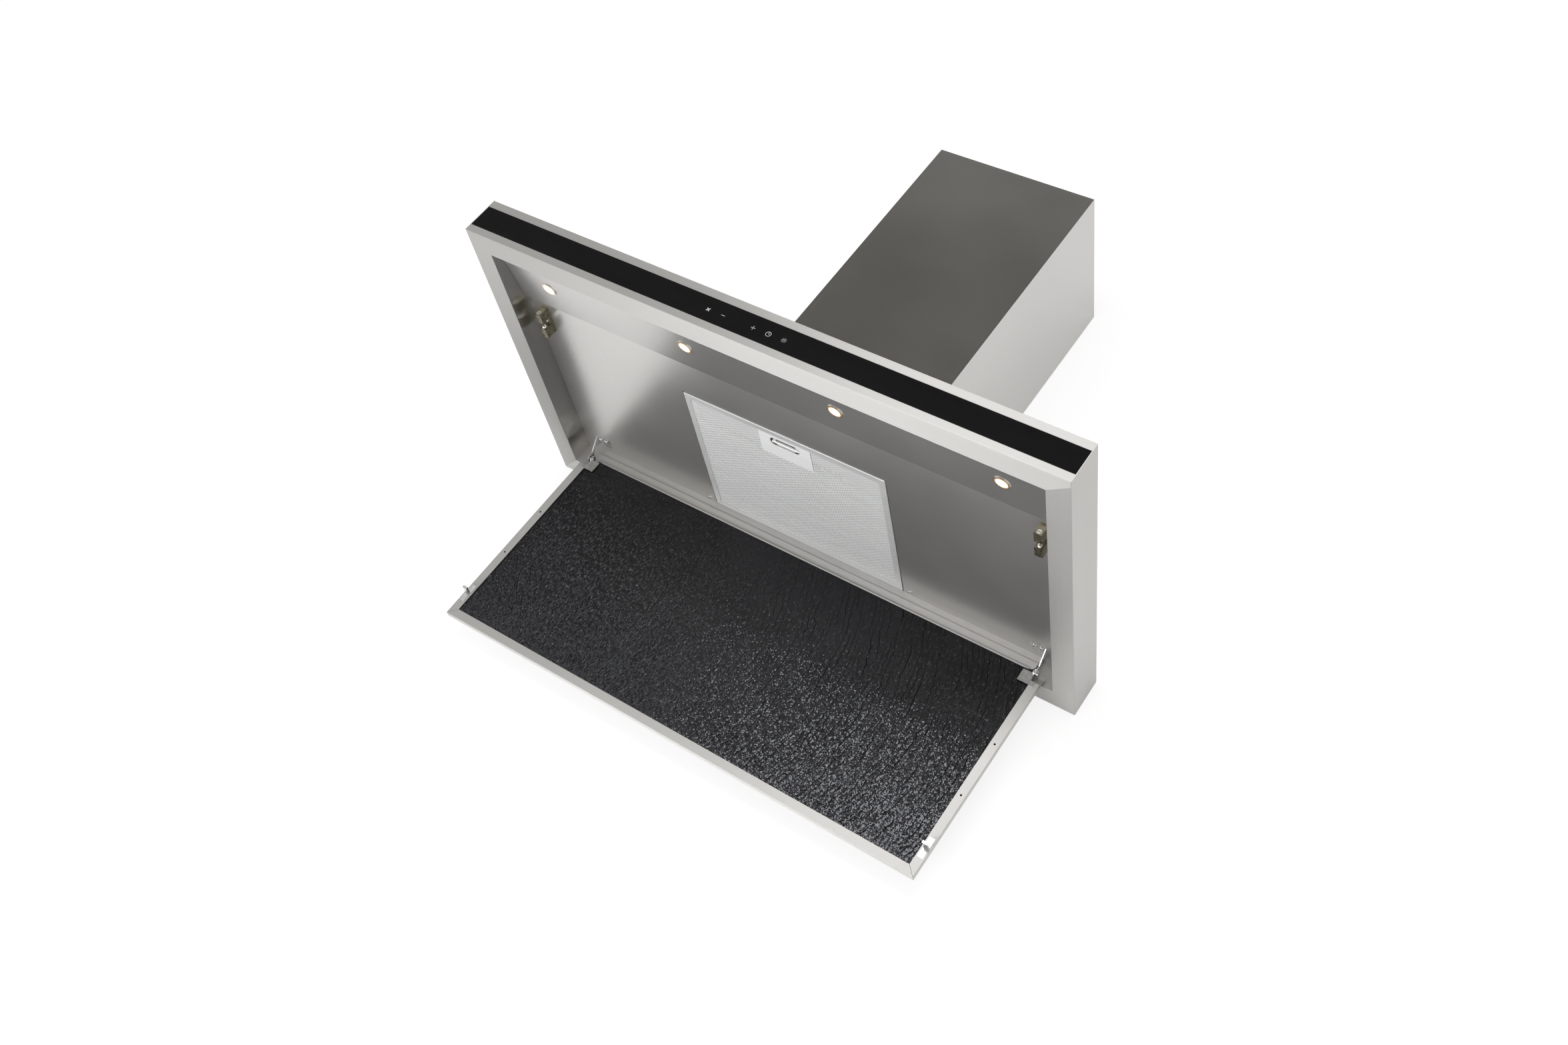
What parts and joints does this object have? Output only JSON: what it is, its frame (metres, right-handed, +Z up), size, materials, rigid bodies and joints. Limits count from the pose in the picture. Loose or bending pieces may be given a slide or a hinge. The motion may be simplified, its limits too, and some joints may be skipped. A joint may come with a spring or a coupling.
{
  "type": "wall mount range hood",
  "caption": "Flat box-shaped wall range hood in brushed stainless steel with a chimney cover, black glass touch strip, spot lamps, grease filter and a hinged suction flap.",
  "frame": {"origin": "centre of the four wall bolts, on the wall plane", "axes": "+X to the hood's right seen from the front, +Y into the wall, +Z up as installed"},
  "size_m": [0.9, 0.508, 0.967],
  "materials": {
    "stainless": "brushed",
    "plated_steel": "plated",
    "bright_metal": "polished",
    "catch_bronze": "dull bronze",
    "filter_aluminium": "satin",
    "lamp_metal": "satin",
    "lamp_lens": "frosted, lit",
    "black_glass": "gloss",
    "circuit_board": "matte",
    "acoustic_foam": "wrinkled skin",
    "motor_paint": "satin",
    "black_plastic": "matte",
    "driver_plastic": "matte"
  },
  "bodies": {
    "hood": {"blower_box": "plated_steel", "blower_screws": "bright_metal", "cable_gland": "black_plastic", "canopy_shell": "stainless", "catch_body_left": "catch_bronze", "catch_body_right": "catch_bronze", "catch_plugs": "bright_metal", "catch_screws": "bright_metal", "ceiling_plate": "stainless", "ceiling_screws": "bright_metal", "chimney_bracket": "plated_steel", "chimney_cover": "stainless", "control_board": "circuit_board", "control_glass": "black_glass", "damper_pins": "bright_metal", "filter_core": "filter_aluminium", "filter_frame": "filter_aluminium", "filter_handle_plate": "filter_aluminium", "filter_mesh": "filter_aluminium", "frame_front": "stainless", "frame_left": "stainless", "frame_rear": "stainless", "frame_right": "stainless", "front_fascia": "stainless", "hinge_bracket_left": "plated_steel", "hinge_bracket_right": "plated_steel", "hinge_pin_left": "bright_metal", "hinge_pin_right": "bright_metal", "hinge_screws": "bright_metal", "lamp_body_1": "lamp_metal", "lamp_body_2": "lamp_metal", "lamp_body_3": "lamp_metal", "lamp_body_4": "lamp_metal", "lamp_lenses": "lamp_lens", "latch_spring": "bright_metal", "led_driver": "driver_plastic", "light_strip": "stainless", "motor": "motor_paint", "motor_spider": "plated_steel", "outlet_collar": "black_plastic", "rear_band": "stainless", "scroll_casing": "plated_steel", "terminal_box": "black_plastic", "wall_plate": "plated_steel"},
    "flap": {"flap_tray": "stainless", "foam_mat": "acoustic_foam", "flap_ear_left": "plated_steel", "flap_ear_right": "plated_steel", "striker_left": "plated_steel", "striker_right": "plated_steel"},
    "latch": {"filter_latch": "bright_metal"},
    "fan": {"impeller": "black_plastic", "motor_shaft": "bright_metal"},
    "damper_front": {"damper_flap_front": "black_plastic"},
    "damper_rear": {"damper_flap_rear": "black_plastic"},
    "ball_left_front": {"catch_ball_left_front": "bright_metal"},
    "ball_left_rear": {"catch_ball_left_rear": "bright_metal"},
    "ball_right_front": {"catch_ball_right_front": "bright_metal"},
    "ball_right_rear": {"catch_ball_right_rear": "bright_metal"}
  },
  "joints": [
    {"name": "flap_hinge", "type": "hinge", "parent": "hood", "child": "flap", "pos_m": [0, -0.044, -0.151], "axis": [1, 0, 0], "range_deg": [-90, 0]},
    {"name": "latch_slide", "type": "slide", "parent": "hood", "child": "latch", "axis": [0, 1, 0], "range_m": [0, 0.0045], "stiffness_N_per_m": 300, "springref_m": -0.004, "deforming": ["latch_spring"]},
    {"name": "fan_spin", "type": "hinge", "parent": "hood", "child": "fan", "pos_m": [0, -0.104, 0.02], "axis": [1, 0, 0], "continuous": true},
    {"name": "damper_front_hinge", "type": "hinge", "parent": "hood", "child": "damper_front", "pos_m": [0, -0.133, 0.185], "axis": [-1, 0, 0], "range_deg": [0, 75]},
    {"name": "damper_rear_hinge", "type": "hinge", "parent": "hood", "child": "damper_rear", "pos_m": [0, -0.125, 0.185], "axis": [1, 0, 0], "range_deg": [0, 75]},
    {"name": "ball_left_front_slide", "type": "slide", "parent": "hood", "child": "ball_left_front", "axis": [0, -1, 0], "range_m": [0, 0.0015], "stiffness_N_per_m": 200, "springref_m": -0.002},
    {"name": "ball_left_rear_slide", "type": "slide", "parent": "hood", "child": "ball_left_rear", "axis": [0, 1, 0], "range_m": [0, 0.0015], "stiffness_N_per_m": 200, "springref_m": -0.002},
    {"name": "ball_right_front_slide", "type": "slide", "parent": "hood", "child": "ball_right_front", "axis": [0, -1, 0], "range_m": [0, 0.0015], "stiffness_N_per_m": 200, "springref_m": -0.002},
    {"name": "ball_right_rear_slide", "type": "slide", "parent": "hood", "child": "ball_right_rear", "axis": [0, 1, 0], "range_m": [0, 0.0015], "stiffness_N_per_m": 200, "springref_m": -0.002}
  ]
}
